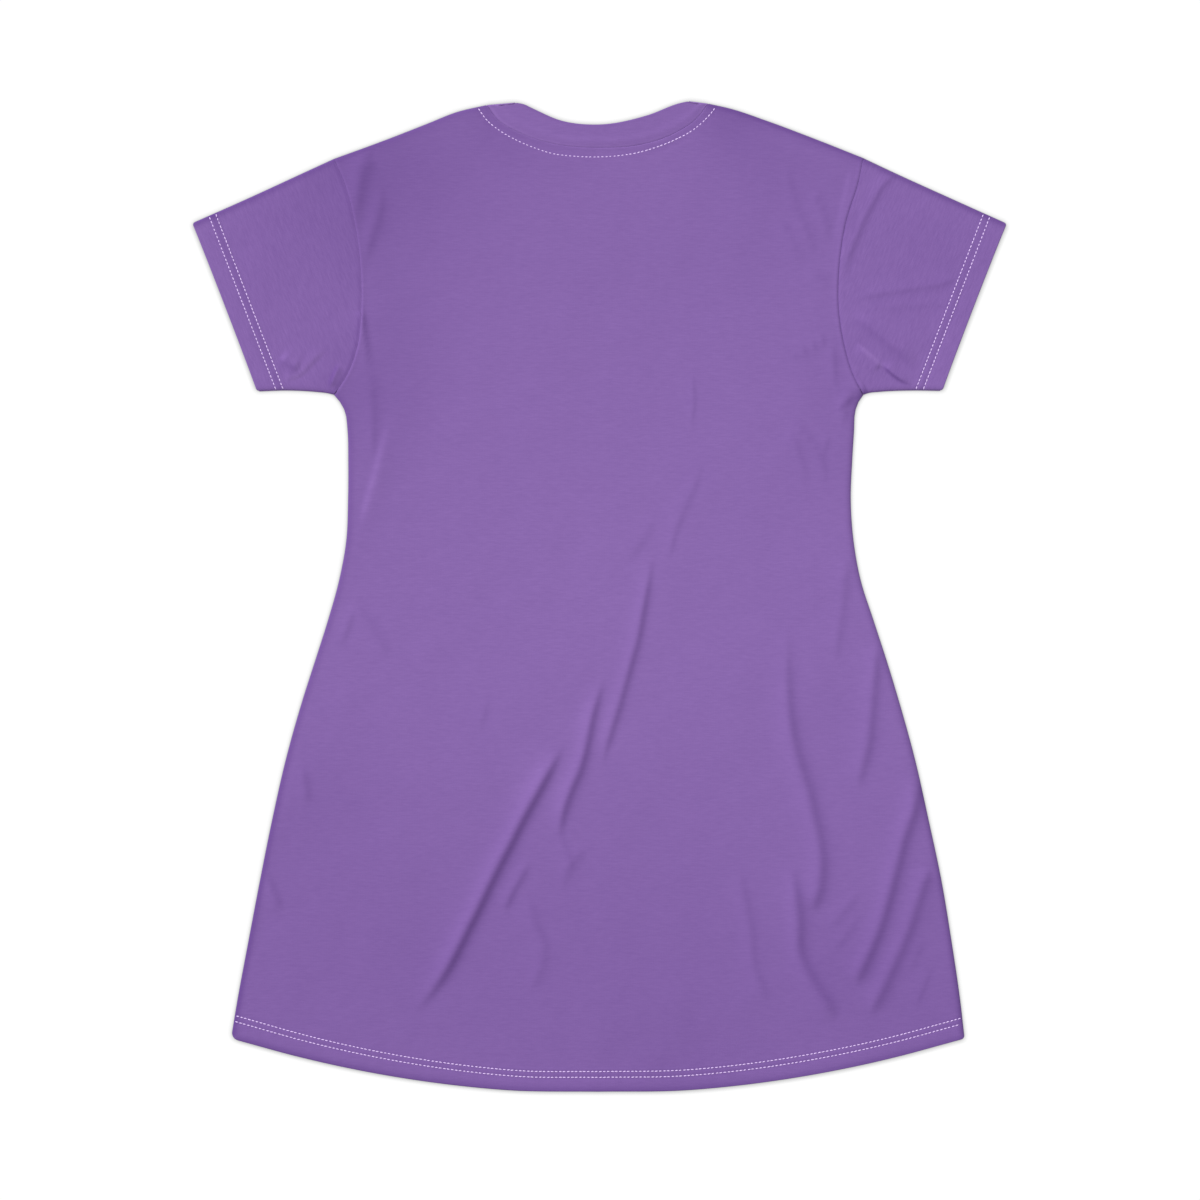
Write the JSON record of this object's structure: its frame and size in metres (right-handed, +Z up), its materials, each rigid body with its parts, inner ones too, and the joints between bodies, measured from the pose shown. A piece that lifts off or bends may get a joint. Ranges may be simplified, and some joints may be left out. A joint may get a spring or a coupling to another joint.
{
  "type": "t-shirt dress",
  "caption": "Short-sleeved, A-line jersey t-shirt dress laid flat with its back upwards: crew neckband, set-in sleeves and a curved hem.",
  "frame": {"origin": "centre of the surface the dress lies on, midway between its sides and between its hem and neck", "axes": "+X towards the wearer's right sleeve, +Y from the hem to the neck, +Z up from the surface"},
  "size_m": [0.7484, 0.91, 0.0061],
  "materials": {
    "jersey_body": "soft single jersey, purple",
    "jersey_sleeve": "soft single jersey, purple",
    "jersey_band": "soft jersey folded double, purple",
    "thread": "pale lilac sewing thread"
  },
  "bodies": {
    "root": {"back_panel": "jersey_body", "front_panel": "jersey_body", "sleeve_left": "jersey_sleeve", "sleeve_right": "jersey_sleeve", "neckband": "jersey_band"}
  },
  "joints": []
}
